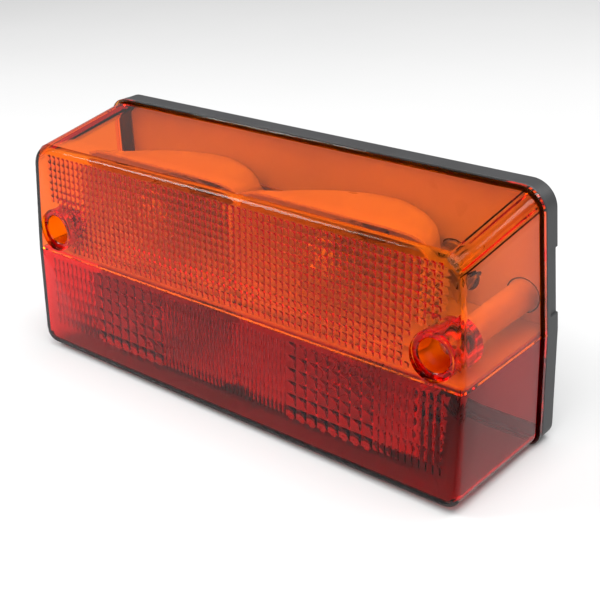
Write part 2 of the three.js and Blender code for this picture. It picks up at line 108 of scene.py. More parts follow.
def mesh_object(name, build, material, body, stands_for=(), smooth=35.0):
    """A closed piece with its faces turned out, riding on a body."""
    mesh = build.mesh(name)
    bm = bmesh.new()
    bm.from_mesh(mesh)
    bmesh.ops.remove_doubles(bm, verts=bm.verts, dist=1e-7)
    bmesh.ops.recalc_face_normals(bm, faces=bm.faces)
    return finish_mesh(bm, name, mesh, material, body, stands_for, smooth)


def finish_mesh(bm, name, mesh, material, body, stands_for, smooth):
    """Links the edited mesh, sets it on its body and hides the parts it stands for."""
    bm.to_mesh(mesh)
    bm.free()
    mesh.materials.append(material)
    for polygon in mesh.polygons:
        polygon.use_smooth = True
    mesh.set_sharp_from_angle(angle=math.radians(smooth))
    piece = bpy.data.objects.new(name, mesh)
    bpy.context.scene.collection.objects.link(piece)
    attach(piece, body)
    if stands_for:
        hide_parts(*stands_for)
    return piece


class Build:
    """Collects points and faces of one piece."""

    def __init__(self):
        self.verts = []
        self.faces = []

    def add(self, points):
        start = len(self.verts)
        self.verts.extend(np.asarray(points, float).tolist())
        return list(range(start, len(self.verts)))

    def strip(self, a, b, closed=True):
        """Quads between two rows of point numbers."""
        n = len(a)
        for i in range(n if closed else n - 1):
            j = (i + 1) % n
            self.faces.append((a[i], a[j], b[j], b[i]))

    def rings(self, rows, closed=True):
        for a, b in zip(rows, rows[1:]):
            self.strip(a, b, closed)

    def cap(self, row):
        self.faces.append(tuple(row))

    def solid(self, rows):
        """Rings joined one after the other and closed at both ends."""
        self.rings(rows)
        self.cap(rows[0])
        self.cap(rows[-1])

    def mesh(self, name):
        """A new Blender mesh of the points and faces, in metres."""
        mesh = bpy.data.meshes.new(name)
        mesh.from_pydata([tuple(v) for v in np.asarray(self.verts, float) * MM], [], self.faces)
        return mesh


def turned(profile, centre, segments=48):
    """Rings of a turned form about Y; profile points are (radius, y)."""
    angles = np.linspace(0, 2 * math.pi, segments, endpoint=False)
    rows = []
    for radius, y in profile:
        rows.append(np.column_stack([
            centre[0] + radius * np.cos(angles), np.full(segments, y), centre[1] + radius * np.sin(angles)]))
    return rows


def arc(cx, cy, radius, start, end, steps):
    angles = np.radians(np.linspace(start, end, steps + 1))
    return [(cx + radius * math.cos(t), cy + radius * math.sin(t)) for t in angles]


# ---------------------------------------------------------------- materials

def new_material(name):
    material = bpy.data.materials.new(name)
    material.use_nodes = True
    tree = material.node_tree
    shader = tree.nodes["Principled BSDF"]
    return material, tree, shader


def noise(tree, scale, detail=3.0, roughness=0.55):
    coords = tree.nodes.new("ShaderNodeTexCoord")
    texture = tree.nodes.new("ShaderNodeTexNoise")
    texture.inputs["Scale"].default_value = scale
    texture.inputs["Detail"].default_value = detail
    texture.inputs["Roughness"].default_value = roughness
    tree.links.new(coords.outputs["Object"], texture.inputs["Vector"])
    return texture.outputs["Fac"]


def ramp(tree, source, stops):
    node = tree.nodes.new("ShaderNodeValToRGB")
    elements = node.color_ramp.elements
    elements[0].position, elements[0].color = stops[0][0], (*stops[0][1], 1)
    elements[1].position, elements[1].color = stops[-1][0], (*stops[-1][1], 1)
    for position, colour in stops[1:-1]:
        elements.new(position).color = (*colour, 1)
    tree.links.new(source, node.inputs["Fac"])
    return node.outputs["Color"]


def spread(tree, source, low, high):
    """A value from 0 to 1 stretched from low to high."""
    node = tree.nodes.new("ShaderNodeMapRange")
    node.inputs["To Min"].default_value = low
    node.inputs["To Max"].default_value = high
    tree.links.new(source, node.inputs["Value"])
    return node.outputs["Result"]


def bump(tree, source, shader, strength, distance):
    node = tree.nodes.new("ShaderNodeBump")
    node.inputs["Strength"].default_value = strength
    node.inputs["Distance"].default_value = distance
    tree.links.new(source, node.inputs["Height"])
    tree.links.new(node.outputs["Normal"], shader.inputs["Normal"])


def clear_plastic(name, keeps, density):
    """Polished tinted plastic. keeps is the share of each colour that passes, density is per metre."""
    material, tree, shader = new_material(name)
    shader.inputs["Base Color"].default_value = (1, 1, 1, 1)
    shader.inputs["Transmission Weight"].default_value = 1.0
    shader.inputs["IOR"].default_value = 1.5
    shader.inputs["Specular Tint"].default_value = (0.2, 0.2, 0.2, 1)
    smudge = noise(tree, 60, 2)
    tree.links.new(spread(tree, smudge, 0.0, 0.03), shader.inputs["Roughness"])
    volume = tree.nodes.new("ShaderNodeVolumeAbsorption")
    volume.inputs["Color"].default_value = (*keeps, 1)
    volume.inputs["Density"].default_value = density
    tree.links.new(volume.outputs["Volume"], tree.nodes["Material Output"].inputs["Volume"])
    return material


def moulded(name, dark, light, roughness, grain, depth):
    """Moulded plastic or rubber with a fine grain."""
    material, tree, shader = new_material(name)
    coarse = noise(tree, 35, 4)
    tree.links.new(ramp(tree, coarse, [(0.3, dark), (0.7, light)]), shader.inputs["Base Color"])
    tree.links.new(spread(tree, coarse, roughness - 0.08, roughness + 0.08), shader.inputs["Roughness"])
    bump(tree, noise(tree, grain, 2), shader, 0.35, depth)
    return material


def metal(name, dark, light, roughness):
    material, tree, shader = new_material(name)
    shader.inputs["Metallic"].default_value = 1.0
    coarse = noise(tree, 220, 4)
    tree.links.new(ramp(tree, coarse, [(0.3, dark), (0.7, light)]), shader.inputs["Base Color"])
    tree.links.new(spread(tree, coarse, roughness - 0.1, roughness + 0.12), shader.inputs["Roughness"])
    bump(tree, noise(tree, 2500, 2), shader, 0.15, 0.00005)
    return material


def clear_glass(name):
    material, tree, shader = new_material(name)
    shader.inputs["Base Color"].default_value = (0.97, 0.98, 0.98, 1)
    shader.inputs["Transmission Weight"].default_value = 1.0
    shader.inputs["IOR"].default_value = 1.5
    tree.links.new(spread(tree, noise(tree, 90, 2), 0.0, 0.02), shader.inputs["Roughness"])
    return material


AMBER = clear_plastic("amber plastic", (0.999, 0.735, 0.0), 1400)
RED = clear_plastic("red plastic", (0.98, 0.05, 0.03), 2200)
BLACK = moulded("black plastic", (0.018, 0.018, 0.019), (0.032, 0.032, 0.034), 0.5, 1500, 0.0002)
RUBBER = moulded("rubber", (0.012, 0.012, 0.012), (0.022, 0.022, 0.022), 0.8, 2200, 0.0002)
# painted shade: near-black colour for the dark band on the red lens's lower front edge
PAINTED_SHADE_EDGE = moulded("red edge painted shade", (0.010, 0.003, 0.003), (0.016, 0.005, 0.004), 0.7, 900, 0.00002)
WHITE = moulded("reflector white", (0.86, 0.85, 0.82), (0.90, 0.89, 0.87), 0.3, 900, 0.00003)
STEEL = metal("zinc plate", (0.50, 0.51, 0.52), (0.68, 0.69, 0.70), 0.32)
BRASS = metal("brass", (0.55, 0.38, 0.16), (0.78, 0.58, 0.28), 0.32)
TUNGSTEN = metal("tungsten", (0.20, 0.20, 0.21), (0.34, 0.34, 0.35), 0.4)
GLASS = clear_glass("bulb glass")


# ---------------------------------------------------------------- lens

def outline(inset, corner_steps=14, straight=20, flute=None):
    """Points round the lamp's outline, anticlockwise from the front, set in by inset."""
    top = HALF_HEIGHT - inset
    xb, rb = HALF_BOTTOM - inset, max(BOTTOM_RADIUS - inset, 1)
    xt, rt = HALF_TOP - inset, max(TOP_RADIUS - inset, 1)
    middle = HALF_SPLIT - inset
    side = 4

    def line(a, b, steps):
        return [tuple(np.array(a) + (np.array(b) - a) * i / steps) for i in range(1, steps)]

    right = arc(xb - rb, -top + rb, rb, -90, 0, corner_steps // 2)
    right += line(right[-1], (middle, SPLIT_Z), side) + [(middle, SPLIT_Z)]
    shoulder = (xt, top - rt)
    for z in (RECESS_LOW, RECESS_LOW + 0.1, RECESS_HIGH, RECESS_HIGH + 0.1):
        share = (z - SPLIT_Z) / (shoulder[1] - SPLIT_Z)
        right.append((middle + share * (xt - middle), z))
    top_right = arc(xt - rt, top - rt, rt, 0, 90, corner_steps)
    if flute:
        top_right = [fluted(p, (xt - rt, top - rt), i, corner_steps, flute) for i, p in enumerate(top_right)]
    right += line(right[-1], top_right[0], side) + top_right
    left = [(-x, z) for x, z in reversed(right)]
    points = right + line(right[-1], left[0], straight) + left + line(left[-1], right[0], straight)
    return np.array(points)


def fluted(point, centre, i, steps, depth):
    """Every second point of a corner stands in, so the corner runs in small flutes."""
    offset = np.array(point) - centre
    length = np.linalg.norm(offset)
    share = depth if i % 2 and 0 < i < steps else 0.0
    return tuple(centre + offset * (1 - share / length))


def lens_depth(z):
    """How far the front stands out at height z."""
    return LENS_DEPTH_MID - LENS_LEAN * z


def pocket_floor():
    """Depth of the face that a lens screw presses on."""
    return SEAT_Y - lens_depth(SCREW_Z) + POCKET_DEPTH


def lens_ring(points, along, rounding, cut, reach):
    """One ring of the tapering lens wall. along runs from 0 at the flange to 1 at the front."""
    x, z = points[:, 0], points[:, 1]
    up = z / HALF_HEIGHT
    across = 1 - (x / HALF_SPLIT) ** 2
    slope = np.where(up > 0, -TOP_DROP * up, -BOTTOM_RISE * up)
    bow = np.sign(up) * TOP_BOW * across * up * up
    z_new = z + along * (slope + bow) - rounding * up
    x_new = x * (1 - (along * SIDE_DRAFT + rounding * SIDE_ROUNDING) / HALF_SPLIT)
    front = SEAT_Y - lens_depth(z_new) + cut + reach
    return np.column_stack([x_new, SEAT_Y + (front - SEAT_Y) * along, z_new])


def circle(x, z, radius, steps=40):
    t = np.linspace(0, 2 * math.pi, steps, endpoint=False)
    return np.column_stack([x + radius * np.cos(t), z + radius * np.sin(t)])


def inside(points, polygon):
    """Even-odd test of points against one closed polygon."""
    x, z = points[:, 0], points[:, 1]
    result = np.zeros(len(points), bool)
    for (x0, z0), (x1, z1) in zip(polygon, np.roll(polygon, -1, axis=0)):
        crosses = (z0 > z) != (z1 > z)
        with np.errstate(divide="ignore", invalid="ignore"):
            result ^= crosses & (x < (x1 - x0) * (z - z0) / (z1 - z0) + x0)
    return result


def outside_holes(edge, holes):
    """A test for points that lie inside an edge and outside its holes."""
    def keep(centres):
        good = inside(centres, edge)
        for hole in holes:
            good &= ~inside(centres, hole)
        return good
    return keep


def flat_sheet(build, loops, height, keep):
    """Triangles between loops of (x, z) points, set at y = height(z). Returns each loop's point numbers."""
    points = np.concatenate(loops)
    edges = []
    start = 0
    for loop in loops:
        n = len(loop)
        edges += [(start + i, start + (i + 1) % n) for i in range(n)]
        start += n
    out = delaunay_2d_cdt([Vector(p) for p in points], edges, [], 0, 1e-5)
    verts = np.array([tuple(v) for v in out[0]])
    numbers = build.add(np.column_stack([verts[:, 0], height(verts[:, 1]), verts[:, 1]]))
    triangles = [f for f in out[2] if len(f) == 3]
    centres = np.array([verts[list(f)].mean(axis=0) for f in triangles])
    wanted = keep(centres)
    for face, good in zip(triangles, wanted):
        if good:
            build.faces.append(tuple(numbers[i] for i in face))
    where = {}
    for new, originals in enumerate(out[3]):
        for original in originals:
            where[original] = numbers[new]
    rows, start = [], 0
    for loop in loops:
        rows.append([where[start + i] for i in range(len(loop))])
        start += len(loop)
    return rows


def cell_block_loops(cells, steps):
    """Closed loops round a set of cells, each side in steps. cells maps (column, row) to its box."""
    following = {}
    for (i, j), (x0, x1, z0, z1) in cells.items():
        sides = [((i, j - 1), (x0, z0), (x1, z0)), ((i + 1, j), (x1, z0), (x1, z1)),
                 ((i, j + 1), (x1, z1), (x0, z1)), ((i - 1, j), (x0, z1), (x0, z0))]
        for neighbour, a, b in sides:
            if neighbour not in cells:
                following.setdefault(a, []).append(b)
    loops = []
    while following:
        first = next(iter(following))
        loop, here = [], first
        while True:
            options = following[here]
            there = options.pop()
            if not options:
                del following[here]
            for i in range(steps):
                share = i / steps
                loop.append((here[0] + share * (there[0] - here[0]), here[1] + share * (there[1] - here[1])))
            here = there
            if here == first:
                break
        loops.append(np.array(loop))
    return loops


def prism_cells(build, cells, height, shape, steps):
    """The moulded face of each cell: shape(u, v) is how far it stands in, u and v from -1 to 1."""
    t = np.linspace(-1, 1, steps + 1)
    u, v = np.meshgrid(t, t)
    rise = shape(u, v)
    for x0, x1, z0, z1 in cells.values():
        x = x0 + (u + 1) / 2 * (x1 - x0)
        z = z0 + (v + 1) / 2 * (z1 - z0)
        size = min(x1 - x0, z1 - z0)
        y = height(z) + rise * size
        rows = [build.add(np.column_stack([x[r], y[r], z[r]])) for r in range(steps + 1)]
        build.rings(rows, closed=False)


def grid_lines(start, end, pitch):
    count = max(1, round((end - start) / pitch))
    return [round(v, 4) for v in np.linspace(start, end, count + 1)]


def make_cells(columns, rows, region, pockets):
    """Cells that lie wholly in the region and clear of the pockets."""
    cells = {}
    for i, (x0, x1) in enumerate(zip(columns, columns[1:])):
        for j, (z0, z1) in enumerate(zip(rows, rows[1:])):
            corners = np.array([(x0, z0), (x1, z0), (x1, z1), (x0, z1)])
            if not inside(corners, region).all():
                continue
            distances = [np.hypot(corners[:, 0] - px, corners[:, 1] - pz).min() - radius
                         for px, pz, radius in pockets]
            if min(distances, default=0) < 0:
                continue
            cells[i, j] = (x0, x1, z0, z1)
    return cells


def front_region(margin):
    """Outline of the flat front, set in by margin."""
    return lens_ring(outline(FLANGE_STEP + margin), 1, 0, 0, 0)[:, [0, 2]]


def amber_cells():
    """Square prisms over the whole amber front, clear of its border and of the screw pockets."""
    pitch, border, half_columns, row_lines = 3.1, 4.2, 34, 16
    low = SPLIT_Z + 2.2
    columns = grid_lines(-half_columns * pitch, half_columns * pitch, pitch)
    rows = [low + pitch * i for i in range(row_lines)]
    pockets = [(side * SCREW_X, SCREW_Z, RIM_RADIUS + 1.2) for side in (-1, 1)]
    return make_cells(columns, rows, front_region(border), pockets)


def red_cells():
    """Upright prisms over the red front: narrow in the middle, wide beside it, medium at the ends."""
    row_pitch, border, row_lines = 5.6, 6.0, 7
    high = SPLIT_Z - 3.2
    middle, ends, edge = 35, 78, 108.5
    zones = ((-edge, -ends, 3.1), (-ends, -middle, 5.2), (-middle, middle, 2.2), (middle, ends, 5.2),
             (ends, edge, 3.1))
    columns = [-edge]
    for start, end, width in zones:
        columns += grid_lines(start, end, width)[1:]
    rows = [high - row_pitch * i for i in range(row_lines)][::-1]
    return make_cells(columns, rows, front_region(border), [])


def pillow(u, v):
    """Rounded square prism of the amber lens, as a share of its cell."""
    return 0.25 * (1 - np.abs(u) ** 2.2) * (1 - np.abs(v) ** 2.2)


def block(u, v):
    """Flatter upright prism of the red lens, as a share of its cell."""
    return 0.22 * (1 - np.abs(u) ** 2.6) * (1 - np.abs(v) ** 2.6)


def pocket_rows(build, x):
    """The screw pocket, from the hole in the front face round to the inner face."""
    front, floor = SEAT_Y - lens_depth(SCREW_Z), pocket_floor()
    profile = [(RIM_RADIUS, front + RIM_DEPTH), (RIM_RADIUS - 0.25, front + RIM_DEPTH + 0.2),
               (POCKET_RADIUS + 0.4, front + RIM_DEPTH + 0.2), (POCKET_RADIUS, front + RIM_DEPTH + 0.6),
               (POCKET_RADIUS - 0.2, floor - 0.6), (POCKET_RADIUS - 0.8, floor), (SCREW_HOLE, floor),
               (SCREW_HOLE, floor + POCKET_FLOOR), (TUBE_RADIUS - 0.6, floor + POCKET_FLOOR),
               (TUBE_RADIUS, floor + POCKET_FLOOR - 0.6)]
    return [build.add(points) for points in turned(profile, (x, SCREW_Z), 40)]


def lens_shell(cells, shape, steps, with_pockets):
    """The whole lens as one closed shell with the given prisms; the caller cuts it at the colour split."""
    build = Build()
    flange = [(0.25, 0.0), (0.0, -0.25), (0.0, -FLANGE + 0.25), (0.25, -FLANGE)]
    rows = []
    for inset, y in flange:
        ring = outline(inset)
        rows.append(build.add(np.column_stack([ring[:, 0], np.full(len(ring), SEAT_Y + y), ring[:, 1]])))
    wall = outline(FLANGE_STEP)
    groove = outline(FLANGE_STEP + 0.55)  # fine line where the wall meets the flange
    foot = FLANGE / LENS_DEPTH_MID
    rows.append(build.add(lens_ring(groove, foot, 0, 0, 0)))
    rows.append(build.add(lens_ring(groove, foot * 1.35, 0, 0, 0)))
    rows.append(build.add(lens_ring(wall, foot * 1.6, 0, 0, 0)))
    for share in np.linspace(0.12, 1.0, 6):
        along = share * (1 - EDGE_RADIUS / LENS_DEPTH_MID)
        rows.append(build.add(lens_ring(wall, along, 0, 0, 0)))
    for angle in np.radians(np.linspace(15, 90, 6)):
        rounding, reach = EDGE_RADIUS * (1 - math.cos(angle)), EDGE_RADIUS * (1 - math.sin(angle))
        rows.append(build.add(lens_ring(wall, 1, rounding, 0, reach)))
    build.rings(rows)

    inner = outline(FLANGE_STEP + LENS_WALL, flute=FLUTE_DEPTH)
    inner_rows = []
    inner_edge = 1.2
    mouth = np.column_stack([inner[:, 0], np.full(len(inner), SEAT_Y), inner[:, 1]])
    inner_rows.append(build.add(mouth))
    for along in np.linspace(0.15, 1 - inner_edge / LENS_DEPTH_MID, 5):
        inner_rows.append(build.add(lens_ring(inner, along, 0, FRONT_WALL * along, 0)))
    for angle in np.radians([30, 60, 90]):
        rounding, reach = inner_edge * (1 - math.cos(angle)), inner_edge * (1 - math.sin(angle))
        inner_rows.append(build.add(lens_ring(inner, 1, rounding, FRONT_WALL, reach)))
    build.rings(inner_rows)
    build.strip(rows[0], inner_rows[0])

    def front_height(z):
        return SEAT_Y - lens_depth(z)

    def inner_height(z):
        return SEAT_Y - lens_depth(z) + FRONT_WALL

    sides = (-1, 1) if with_pockets else ()
    rim_loops = [circle(side * SCREW_X, SCREW_Z, RIM_RADIUS) for side in sides]
    tube_loops = [circle(side * SCREW_X, SCREW_Z, TUBE_RADIUS) for side in sides]
    outer_loop = np.array([build.verts[i] for i in rows[-1]])[:, [0, 2]]
    inner_loop = np.array([build.verts[i] for i in inner_rows[-1]])[:, [0, 2]]

    front = flat_sheet(build, [outer_loop, *rim_loops], front_height, outside_holes(outer_loop, rim_loops))
    blocks = cell_block_loops(cells, steps)
    left, right, bottom, top = np.array(list(cells.values())).T

    def keep_inner(centres):
        good = outside_holes(inner_loop, tube_loops)(centres)
        for k, (x, z) in enumerate(centres):
            if good[k] and ((left < x) & (x < right) & (bottom < z) & (z < top)).any():
                good[k] = False
        return good

    back = flat_sheet(build, [inner_loop, *tube_loops, *blocks], inner_height, keep_inner)
    prism_cells(build, cells, inner_height, shape, steps)
    for number, side in enumerate(sides):
        pocket = pocket_rows(build, side * SCREW_X)
        build.strip(front[1 + number], pocket[0])
        build.rings(pocket)
        build.strip(pocket[-1], back[1 + number])
    return build


def lens_half(name, node, cells, shape, material, upper):
    """One colour of the lens: the shell with its own prisms, cut at the colour split."""
    mesh = lens_shell(cells, shape, PRISM_STEPS, upper).mesh(name)
    bm = bmesh.new()
    bm.from_mesh(mesh)
    bmesh.ops.remove_doubles(bm, verts=bm.verts, dist=2e-7)
    side = 1 if upper else -1
    plane = Vector((0, 0, (SPLIT_Z + side * SEAM_GAP / 2) * MM))
    everything = bm.verts[:] + bm.edges[:] + bm.faces[:]
    cut = bmesh.ops.bisect_plane(
        bm, geom=everything, dist=1e-8, plane_co=plane, plane_no=Vector((0, 0, -side)), clear_outer=True)
    edges = [e for e in cut["geom_cut"] if isinstance(e, bmesh.types.BMEdge)]
    bmesh.ops.triangle_fill(bm, edges=edges, use_beauty=True)
    bmesh.ops.recalc_face_normals(bm, faces=bm.faces)
    return finish_mesh(bm, name, mesh, material, "lens", (node,), 30.0)


lens_half("lens_amber_moulding", "lens_amber", amber_cells(), pillow, AMBER, True)
lens_half("lens_red_moulding", "lens_red", red_cells(), block, RED, False)


def painted_shade_band():
    """Painted shade: a dark skin on the rounded lower front edge of the red lens that stands for the shade
    there and lets hardly any light through.
    """
    build = Build()
    skins = []
    for lift in (0.03, 0.09):
        points = outline(FLANGE_STEP - lift)
        points = points[points[:, 1] < -HALF_HEIGHT + SHADE_BAND_REACH]
        points = points[np.argsort(points[:, 0])]
        rows = []
        for angle in np.radians(np.linspace(-10, 68, 12)):
            round_angle = max(angle, 0)
            rounding = EDGE_RADIUS * (1 - math.cos(round_angle))
            reach = EDGE_RADIUS * (1 - math.sin(angle)) - lift
            rows.append(build.add(lens_ring(points, 1, rounding, 0, reach)))
        build.rings(rows, closed=False)
        skins.append(rows)
    inner, outer = skins
    build.strip(inner[0], outer[0], closed=False)
    build.strip(inner[-1], outer[-1], closed=False)
    for end in (0, -1):
        build.strip([row[end] for row in inner], [row[end] for row in outer], closed=False)
    # a thin sheet of painted shade laid over the lower front edge of the red lens
    mesh_object("red_lens_edge_band", build, PAINTED_SHADE_EDGE, "lens", ("lens_red",), 60)


painted_shade_band()


# ---------------------------------------------------------------- reflectors

def bowl_ring(x, z, width, low, high, squareness, y, steps=64):
    """One ring of a bowl: an ellipse at squareness 2, nearly a rectangle at 8."""
    t = np.linspace(0, 2 * math.pi, steps, endpoint=False) + math.pi / steps
    cos, sin = np.cos(t), np.sin(t)
    stretch = (np.abs(cos) ** squareness + np.abs(sin) ** squareness) ** (-1 / squareness)
    height = np.where(sin > 0, high, low)
    return np.column_stack([x + width * cos * stretch, np.full(steps, y), z + height * sin * stretch])


def reflector(bulb, x, z, low, high, front):
    """A bowl that is round at its bulb and nearly square at the rim."""
    build = Build()
    surfaces = []
    for grow in (BOWL_WALL, 0.0):
        rows = []
        for t in np.linspace(0, 1, 15) ** 1.6:
            opened = math.sqrt(t)
            width, down, up = (BOWL_BACK_RADIUS + (reach - BOWL_BACK_RADIUS) * opened + grow
                               for reach in (BOWL_HALF_WIDTH, low, high))
            y = -BOWL_REAR - (front - BOWL_REAR) * t
            rows.append(build.add(bowl_ring(x, z, width, down, up, 2 + 6 * t, y)))
        build.rings(rows)
        surfaces.append(rows)
    outside, inner = surfaces
    build.strip(outside[0], inner[0])
    build.strip(outside[-1], inner[-1])
    mesh_object(f"{bulb}_reflector_bowl", build, WHITE, "root", (f"{bulb}_reflector",), 40)


for label, side, z, _, bowl in BULBS:
    reflector(label, side * BULB_X, z, *bowl)


# ---------------------------------------------------------------- base

def outline_ring(build, inset, y, recessed=False):
    """One ring of the base wall, with the shallow recess in each end if asked for."""
    ring = outline(inset)
    x, z, slack = ring[:, 0].copy(), ring[:, 1], 0.05
    if recessed:
        at_end = np.abs(x) > HALF_TOP - 8
        sunk = at_end & (z > RECESS_LOW + slack) & (z < RECESS_HIGH + slack)
        x[sunk] -= np.sign(x[sunk]) * RECESS_DEPTH
    return build.add(np.column_stack([x, np.full(len(x), y), z]))


def base_tray():
    """The moulded base: side wall with its end recesses, seal groove, floor and the holes in it."""
    build = Build()
    wall, inner, outer = 0.1, GROOVE_INSET, GROOVE_INSET + GROOVE_WIDTH
    stations = [(wall + 0.5, 0, True), (wall + 0.1, -0.4, True), (wall + 0.1, -RECESS_FRONT, True),
                (wall, -RECESS_FRONT, False), (wall, -BASE_DEPTH + 0.5, False),
                (wall + 0.4, -BASE_DEPTH, False),
                (inner, -BASE_DEPTH, False), (inner, -BASE_DEPTH + GROOVE_DEPTH, False),
                (outer, -BASE_DEPTH + GROOVE_DEPTH, False), (outer, -BASE_DEPTH, False),
                (BASE_WALL - 0.3, -BASE_DEPTH, False), (BASE_WALL, -BASE_DEPTH + 0.3, False),
                (BASE_WALL, -FLOOR - 0.6, False), (BASE_WALL + 0.6, -FLOOR, False)]
    rows = [outline_ring(build, *station) for station in stations]
    build.rings(rows)
    holes = [circle(side * BOLT_X, BOLT_Z, BOLT_HOLE, 32) for side in (-1, 1)]
    holes.append(circle(0, INLET_Z, INLET_HOLE))
    faces = []
    for row, y in ((rows[0], 0.0), (rows[-1], -FLOOR)):
        loop = np.array([build.verts[i] for i in row])[:, [0, 2]]
        keep = outside_holes(loop, holes)
        faces.append(flat_sheet(build, [loop, *holes], lambda z, y=y: np.full(len(z), y), keep))
    for rear, front in zip(faces[0][1:], faces[1][1:]):
        build.strip(rear, front)
    mesh_object("base_tray", build, BLACK, "root", ("housing_base",), 28)


def base_coating():
    """Thin white coating on the floor inside the base, clear of the fixings."""
    build = Build()
    edge = outline(BASE_WALL + 1.0)
    bolt_clearance, pillar_clearance, inlet_clearance = 7.0, PILLAR_RADIUS + 1.2, INLET_HOLE + 2.4
    holes = [circle(side * BOLT_X, BOLT_Z, bolt_clearance, 32) for side in (-1, 1)]
    holes += [circle(side * SCREW_X, SCREW_Z, pillar_clearance, 32) for side in (-1, 1)]
    holes.append(circle(0, INLET_Z, inlet_clearance))
    keep = outside_holes(edge, holes)
    gap, thickness = 0.02, 0.12
    back, face = (flat_sheet(build, [edge, *holes], lambda z, y=-FLOOR - lift: np.full(len(z), y), keep)
                  for lift in (gap, gap + thickness))
    for a, b in zip(back, face):
        build.strip(a, b)
    mesh_object("base_floor_coating", build, WHITE, "root", ("housing_base",))


def screw_pillar(side, label):
    """Hollow post that takes a lens screw."""
    front = pocket_floor() + POCKET_FLOOR + 0.3
    rear, bore_end = -FLOOR, front + PILLAR_BORE_LENGTH
    profile = [(0, rear), (PILLAR_RADIUS + 0.6, rear), (PILLAR_RADIUS, rear - 1.2),
               (PILLAR_RADIUS - 0.5, front + 0.5), (PILLAR_RADIUS - 1, front), (PILLAR_BORE + 0.5, front),
               (PILLAR_BORE, front + 0.5), (PILLAR_BORE, bore_end), (0, bore_end)]
    turned_piece(f"screw_pillar_{label}", profile, (side * SCREW_X, SCREW_Z), WHITE, "root",
                 ("housing_base",), 40)


# ---------------------------------------------------------------- turned and threaded parts

def add_lathe(build, profile, centre, segments=48):
    """A turned body whose profile may start and end on the axis, or closes on itself."""
    rows = []
    for radius, y in profile:
        if radius == 0:
            rows.append(build.add([(centre[0], y, centre[1])]) * segments)
        else:
            rows.append(build.add(turned([(radius, y)], centre, segments)[0]))
    for a, b in zip(rows, rows[1:]):
        lathe_strip(build, a, b, segments)
    if profile[0][0] and profile[-1][0]:
        lathe_strip(build, rows[-1], rows[0], segments)


def lathe_strip(build, a, b, segments):
    for i in range(segments):
        j = (i + 1) % segments
        corners = list(dict.fromkeys([a[i], a[j], b[j], b[i]]))
        if len(corners) > 2:
            build.faces.append(tuple(corners))


def add_thread(build, centre, radius, depth, pitch, start, end, segments=28, per_turn=8):
    """A rod with a helical thread between two places along Y, closed at both ends."""
    turns = abs(end - start) / pitch
    count = max(2, int(turns * per_turn))
    angles = np.linspace(0, 2 * math.pi, segments, endpoint=False)
    rows = []
    for step in range(count + 1):
        y = start + (end - start) * step / count
        phase = (y / pitch + angles / (2 * math.pi)) % 1.0
        fade = min(1.0, step / per_turn, (count - step) / per_turn)
        r = radius - depth * fade * np.abs(2 * phase - 1)
        rows.append(build.add(np.column_stack([centre[0] + r * np.cos(angles), np.full(segments, y),
                                               centre[1] + r * np.sin(angles)])))
    build.solid(rows)


def carve(piece, cutters):
    """Cuts closed Build shapes out of a piece."""
    for number, cutter in enumerate(cutters):
        other = bpy.data.objects.new("cutter", cutter.mesh("cutter"))
        bpy.context.scene.collection.objects.link(other)
        modifier = piece.modifiers.new(f"cut {number}", "BOOLEAN")
        modifier.object = other
        modifier.solver = "EXACT"
        evaluated = piece.evaluated_get(bpy.context.evaluated_depsgraph_get())
        result = bpy.data.meshes.new_from_object(evaluated)
        piece.modifiers.clear()
        piece.data = result
        bpy.data.objects.remove(other)
    piece.data.set_sharp_from_angle(angle=math.radians(35))


def box_build(low, high):
    build = Build()
    (x0, y0, z0), (x1, y1, z1) = low, high
    build.add([(x0, y0, z0), (x1, y0, z0), (x1, y1, z0), (x0, y1, z0),
               (x0, y0, z1), (x1, y0, z1), (x1, y1, z1), (x0, y1, z1)])
    build.faces += [(3, 2, 1, 0), (4, 5, 6, 7), (0, 1, 5, 4), (1, 2, 6, 5), (2, 3, 7, 6), (3, 0, 4, 7)]
    return build


def bevelled_box(name, low, high, bevel, material, body, stands_for):
    mesh = box_build(low, high).mesh(name)
    bm = bmesh.new()
    bm.from_mesh(mesh)
    bmesh.ops.bevel(bm, geom=bm.edges[:], offset=bevel * MM, segments=3, profile=0.5, affect="EDGES")
    bmesh.ops.recalc_face_normals(bm, faces=bm.faces)
    return finish_mesh(bm, name, mesh, material, body, stands_for, 30)


def add_hexagon(build, across, centre, rear, front, chamfer=0.6):
    """Rings of a hexagonal head with its corners taken down at the front."""
    corner, steps = across / math.sqrt(3), 8
    rows = []
    for y, trimmed in ((rear, False), (front + chamfer, False), (front, True)):
        points = []
        for i in range(6 * steps):
            turns, share = [math.radians(60 * (i // steps + k)) for k in (0, 1)], (i % steps) / steps
            start, end = (np.array([math.cos(t), math.sin(t)]) for t in turns)
            p = start * (1 - share) + end * share
            length = np.linalg.norm(p)
            radius = length * corner
            if trimmed:
                radius = min(radius, across / 2 * 0.96)
            points.append((centre[0] + p[0] / length * radius, y, centre[1] + p[1] / length * radius))
        rows.append(build.add(points))
    return rows


